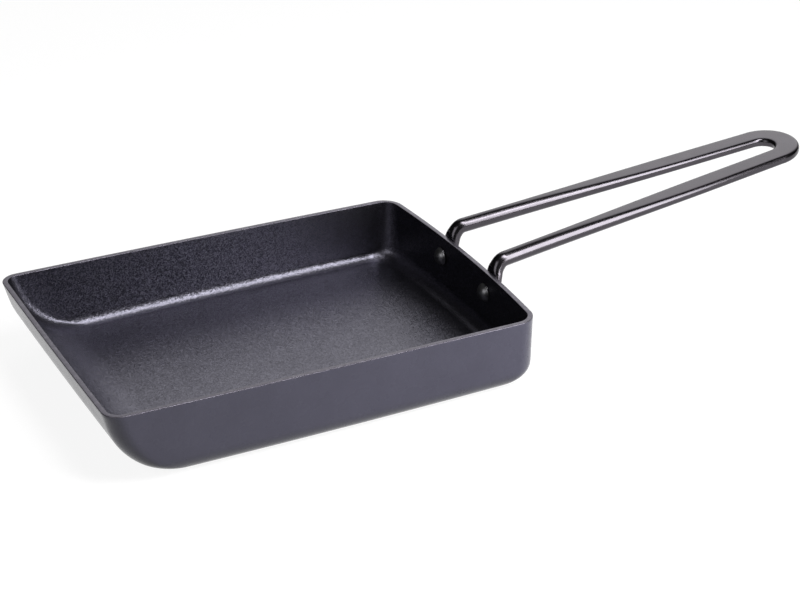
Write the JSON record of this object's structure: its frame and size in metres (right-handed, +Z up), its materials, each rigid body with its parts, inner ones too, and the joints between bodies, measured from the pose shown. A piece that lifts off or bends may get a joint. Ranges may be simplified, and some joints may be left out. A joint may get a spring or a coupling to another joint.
{
  "type": "small rectangular frying pan",
  "caption": "Small rectangular frying pan with a leaning front wall and a long bent rod handle, flattened towards its closed loop and riveted to one end wall.",
  "frame": {"origin": "middle of the flat underside", "axes": "+X along the handle, away from the pouring front; +Z up"},
  "size_m": [0.3475, 0.1312, 0.051],
  "materials": {
    "coated_pan": "dark grey non-stick coating over aluminium, smooth satin outside and finely speckled inside",
    "handle_steel": "warm grey satin metallic coating",
    "rivet_metal": "dark grey coated dome heads"
  },
  "bodies": {
    "root": {"pan_body": "coated_pan", "handle": "handle_steel", "rivet_right": "rivet_metal", "rivet_left": "rivet_metal"}
  },
  "joints": []
}
